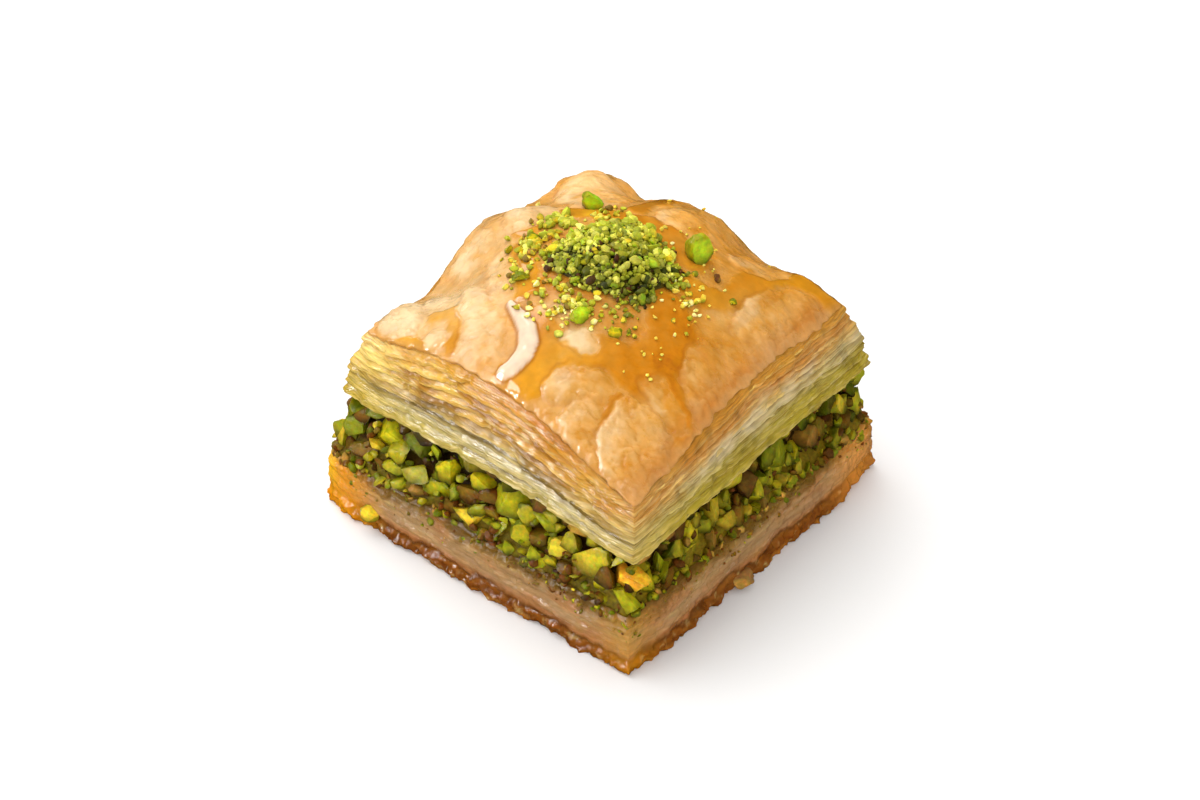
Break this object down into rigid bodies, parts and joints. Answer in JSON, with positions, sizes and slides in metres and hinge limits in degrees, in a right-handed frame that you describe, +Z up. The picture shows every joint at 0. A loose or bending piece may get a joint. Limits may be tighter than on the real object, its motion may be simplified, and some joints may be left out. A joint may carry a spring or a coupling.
{
  "type": "baklava piece",
  "caption": "Square piece of pistachio baklava: soaked pastry base, chopped nut layer, puffed flaky pastry top with glossy syrup, and ground nuts on the crust.",
  "frame": {"origin": "middle of the flat underside", "axes": "+Z up through the layers; the cut sides run along X and Y, and the sharpest corner points to +X, -Y"},
  "size_m": [0.052, 0.0515, 0.0384],
  "materials": {
    "soaked_pastry": "translucent brown pastry soaked with syrup, thin pressed layers, dark amber glossy lower rim",
    "chopped_pistachio": "angular chopped pistachios, bright green to yellow-green flesh with purple-brown skins, damp with syrup",
    "flaky_pastry": "baked pastry sheets, golden-orange blistered crust with wet syrup gloss, pale yellow-green silvery sheets at the cut sides",
    "ground_pistachio": "dry finely ground pistachio, light yellow-green crumbs with dark specks"
  },
  "bodies": {
    "root": {"bottom_pastry": "soaked_pastry", "pistachio_filling": "chopped_pistachio", "top_pastry": "flaky_pastry", "pistachio_topping": "ground_pistachio"}
  },
  "joints": []
}
